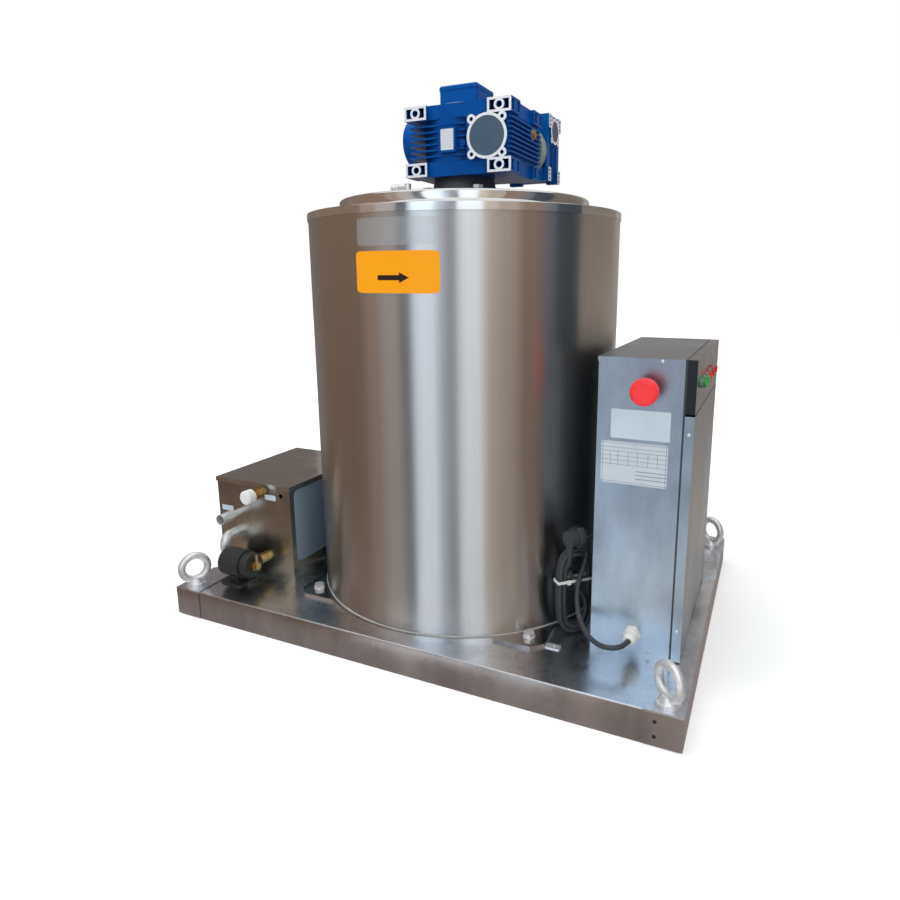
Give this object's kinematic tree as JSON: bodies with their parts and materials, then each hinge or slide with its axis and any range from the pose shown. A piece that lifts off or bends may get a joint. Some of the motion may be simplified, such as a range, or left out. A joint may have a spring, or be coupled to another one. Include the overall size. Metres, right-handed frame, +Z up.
{
  "type": "flake ice machine",
  "caption": "Upright drum flake ice maker on a bed with lifting eyes, geared drive on top, water tank on one side and control cabinet on the other.",
  "frame": {"origin": "middle of the bed's underside", "axes": "+Z up, front towards -Y, water tank on the -X side and control cabinet on the +X side"},
  "size_m": [0.9751, 0.6961, 1.031],
  "materials": {
    "stainless": "brushed and mirror-bright stainless sheet",
    "steel": "machined steel",
    "hard_steel": "hardened blade steel",
    "bronze": "bare brass and bronze",
    "copper": "copper tube",
    "blue_cast_iron": "deep blue enamel on iron castings",
    "grey_green_iron": "grey-green painted iron",
    "dark_cap": "dark grey pressed caps",
    "foam": "rigid insulating foam",
    "black_rubber": "black rubber",
    "white_plastic": "white plastic",
    "float_plastic": "hollow float taken as plastic",
    "black_plastic": "black plastic",
    "red_plastic": "red plastic",
    "lens_plastic": "coloured lamp lenses"
  },
  "bodies": {
    "frame": {"base_crossbeams": "steel", "base_tray": "stainless", "cabinet_body": "stainless", "cabinet_cover": "stainless", "cabinet_gasket": "black_rubber", "cable_gland": "white_plastic", "circulating_pump": "black_plastic", "component_plate": "steel", "control_panel": "stainless", "cord_hank": "black_rubber", "corner_plates": "stainless", "coupling_flange": "grey_green_iron", "drum_flange": "stainless", "drum_insulation": "foam", "drum_shell": "stainless", "drum_top_ring": "stainless", "earth_tab": "stainless", "electrical_parts": "white_plastic", "estop_base": "black_plastic", "evaporator_cylinder": "steel", "first_gearbox_housing": "blue_cast_iron", "gearbox_caps": "dark_cap", "gearbox_mount_plate": "steel", "gearbox_output_flange": "grey_green_iron", "gutter_drain": "stainless", "hank_tie": "white_plastic", "hex_bolts": "steel", "indicator_lamps": "lens_plastic", "inlet_cap": "white_plastic", "inlet_valve": "bronze", "lifting_eyes": "steel", "lower_spider": "steel", "main_gearbox_housing": "blue_cast_iron", "motor_fan_cowl": "blue_cast_iron", "motor_housing": "blue_cast_iron", "oil_plug": "bronze", "outlet_liner": "stainless", "power_cord": "black_rubber", "power_plug": "black_rubber", "pump_unions": "bronze", "refrigerant_stubs": "copper", "spindle_bushes": "bronze", "tank_body": "stainless", "tank_lid": "stainless", "tank_pipes": "stainless", "terminal_box": "blue_cast_iron", "top_lid": "stainless", "upper_bearing_housing": "steel", "water_feed_pipe": "stainless", "water_gutter": "stainless"},
    "rotor": {"spindle": "steel", "output_sleeve": "steel", "blade_carrier": "steel", "ice_blade": "hard_steel", "squeegee": "black_rubber", "water_pan": "stainless"},
    "estop_stem_body": {"estop_stem": "steel"},
    "estop_head_body": {"estop_head": "red_plastic"},
    "float": {"float_arm": "float_plastic"}
  },
  "joints": [
    {"name": "rotor_spin", "type": "hinge", "parent": "frame", "child": "rotor", "pos_m": [0, -0.022, 0.45], "axis": [0, 0, 1], "continuous": true},
    {"name": "estop_press", "type": "slide", "parent": "frame", "child": "estop_stem_body", "axis": [0, 1, 0], "range_m": [0, 0.005], "stiffness_N_per_m": 900},
    {"name": "estop_twist", "type": "hinge", "parent": "estop_stem_body", "child": "estop_head_body", "pos_m": [0.392, -0.24, 0.492], "axis": [0, 1, 0], "range_deg": [0, 45], "stiffness_Nm_per_rad": 0.2},
    {"name": "float_swing", "type": "hinge", "parent": "frame", "child": "float", "pos_m": [-0.362, -0.1985, 0.233], "axis": [1, 0, 0], "range_deg": [-30, 8]}
  ]
}
